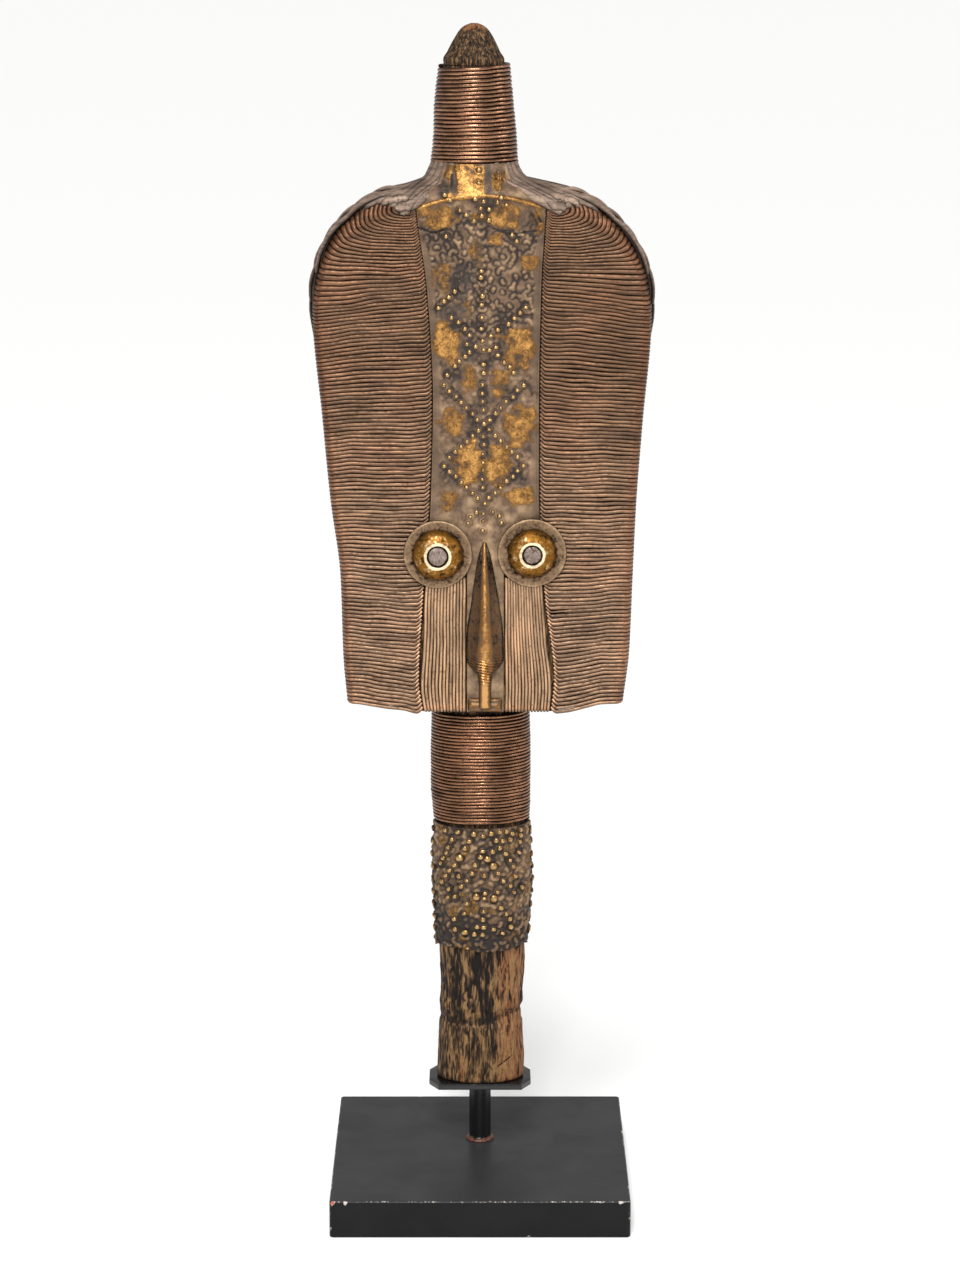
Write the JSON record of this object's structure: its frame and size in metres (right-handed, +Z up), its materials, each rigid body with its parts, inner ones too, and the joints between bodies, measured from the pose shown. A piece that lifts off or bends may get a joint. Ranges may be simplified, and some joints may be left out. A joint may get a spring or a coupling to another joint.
{
  "type": "kota reliquary figure",
  "caption": "Kota reliquary guardian figure: a tall leaf-shaped head wrapped in copper wire and studded brass sheet, on a wooden neck and a square black display stand.",
  "frame": {"origin": "centre of the square plinth's underside, on the ground", "axes": "+Z up through the figure, -Y the way the face looks, +X to the viewer's right"},
  "size_m": [0.1572, 0.14, 0.5528],
  "materials": {
    "black_satin_paint": "satin black paint over wood, chipped at the edges",
    "black_painted_steel": "satin black paint",
    "dark_carved_wood": "dry, worn and weathered",
    "aged_copper_wire": "aged copper, handled and dull",
    "patinated_wire_bundle": "grey-brown patina",
    "aged_brass_sheet": "hammered sheet, patinated with rubbed patches",
    "bright_brass": "rubbed bright",
    "dull_brass_washer": "dull patina",
    "worn_iron_pin": "worn and scratched"
  },
  "bodies": {
    "root": {"stand_plinth": "black_satin_paint", "stand_post": "black_painted_steel", "stand_plate": "black_painted_steel", "wood_core": "dark_carved_wood", "wire_panel_left": "aged_copper_wire", "wire_panel_right": "aged_copper_wire", "neck_wrap": "aged_copper_wire", "finial_wrap": "aged_copper_wire", "neck_sleeve": "aged_brass_sheet", "face_strip": "aged_brass_sheet", "cheek_wires_left": "aged_copper_wire", "cheek_wires_right": "aged_copper_wire", "nose": "bright_brass", "eye_washer_left": "dull_brass_washer", "eye_washer_right": "dull_brass_washer", "eye_boss_left": "bright_brass", "eye_boss_right": "bright_brass", "eye_pin_left": "worn_iron_pin", "eye_pin_right": "worn_iron_pin", "shoulder_binding_left": "patinated_wire_bundle", "shoulder_binding_right": "patinated_wire_bundle"}
  },
  "joints": []
}
